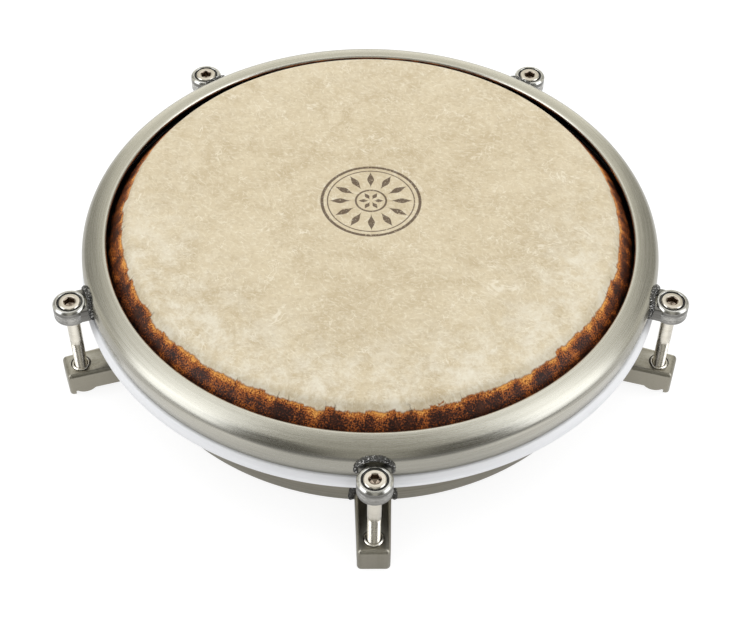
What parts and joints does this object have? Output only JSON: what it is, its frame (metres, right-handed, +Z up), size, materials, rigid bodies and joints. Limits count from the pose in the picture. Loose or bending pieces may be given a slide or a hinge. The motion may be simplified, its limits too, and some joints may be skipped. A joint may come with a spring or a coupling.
{
  "type": "travel conga drum",
  "caption": "Shallow steel hand drum with a tuned natural head, a rounded rim drawn down by socket-head screws, and welded arms that take the screws and stand on the ground.",
  "frame": {"origin": "on the drum's axis, at the height of the arms' feet", "axes": "+Z up along the drum's axis, -Y towards the front arm, +X to the right seen from the front"},
  "size_m": [0.3814, 0.377, 0.0902],
  "materials": {
    "shell_steel": "brushed warm nickel plate",
    "rim_steel": "satin nickel plate, brushed round the ring",
    "hoop_aluminium": "bright brushed",
    "head_skin": "mottled cream, burnt brown on the collar",
    "arm_steel": "satin nickel plate",
    "eye_steel": "grey steel, polished round the top",
    "weld_steel": "rough dark weld bead",
    "screw_zinc": "bright warm plate",
    "cup_plastic": "black"
  },
  "bodies": {
    "shell": {"shell_ring": "shell_steel", "head_film": "head_skin", "arm_1": "arm_steel", "arm_2": "arm_steel", "arm_3": "arm_steel", "arm_4": "arm_steel", "arm_5": "arm_steel", "arm_weld_1": "weld_steel", "arm_weld_2": "weld_steel", "arm_weld_3": "weld_steel", "arm_weld_4": "weld_steel", "arm_weld_5": "weld_steel", "nut_1": "screw_zinc", "nut_2": "screw_zinc", "nut_3": "screw_zinc", "nut_4": "screw_zinc", "nut_5": "screw_zinc"},
    "rim": {"rim": "rim_steel", "flesh_hoop": "hoop_aluminium", "eye_1": "eye_steel", "eye_2": "eye_steel", "eye_3": "eye_steel", "eye_4": "eye_steel", "eye_5": "eye_steel", "rim_weld_1": "weld_steel", "rim_weld_2": "weld_steel", "rim_weld_3": "weld_steel", "rim_weld_4": "weld_steel", "rim_weld_5": "weld_steel", "cup_1": "cup_plastic", "cup_2": "cup_plastic", "cup_3": "cup_plastic", "cup_4": "cup_plastic", "cup_5": "cup_plastic"},
    "bolt_1": {"bolt_1": "screw_zinc"},
    "bolt_2": {"bolt_2": "screw_zinc"},
    "bolt_3": {"bolt_3": "screw_zinc"},
    "bolt_4": {"bolt_4": "screw_zinc"},
    "bolt_5": {"bolt_5": "screw_zinc"}
  },
  "joints": [
    {"name": "rim_travel", "type": "slide", "parent": "shell", "child": "rim", "axis": [0, 0, 1], "range_m": [-0.003, 0.003]},
    {"name": "bolt_1_turn", "type": "hinge", "parent": "rim", "child": "bolt_1", "pos_m": [0, -0.188, 0.0722], "axis": [0, 0, 1], "range_deg": [-864, 864]},
    {"name": "bolt_2_turn", "type": "hinge", "parent": "rim", "child": "bolt_2", "pos_m": [0.1788, -0.0581, 0.0722], "axis": [0, 0, 1], "range_deg": [-864, 864]},
    {"name": "bolt_3_turn", "type": "hinge", "parent": "rim", "child": "bolt_3", "pos_m": [0.1105, 0.1521, 0.0722], "axis": [0, 0, 1], "range_deg": [-864, 864]},
    {"name": "bolt_4_turn", "type": "hinge", "parent": "rim", "child": "bolt_4", "pos_m": [-0.1105, 0.1521, 0.0722], "axis": [0, 0, 1], "range_deg": [-864, 864]},
    {"name": "bolt_5_turn", "type": "hinge", "parent": "rim", "child": "bolt_5", "pos_m": [-0.1788, -0.0581, 0.0722], "axis": [0, 0, 1], "range_deg": [-864, 864]}
  ],
  "couplings": [
    {"joint": "bolt_1_turn", "follows": "rim_travel", "rad_per_m": 5026.5},
    {"joint": "bolt_2_turn", "follows": "rim_travel", "rad_per_m": 5026.5},
    {"joint": "bolt_3_turn", "follows": "rim_travel", "rad_per_m": 5026.5},
    {"joint": "bolt_4_turn", "follows": "rim_travel", "rad_per_m": 5026.5},
    {"joint": "bolt_5_turn", "follows": "rim_travel", "rad_per_m": 5026.5}
  ]
}
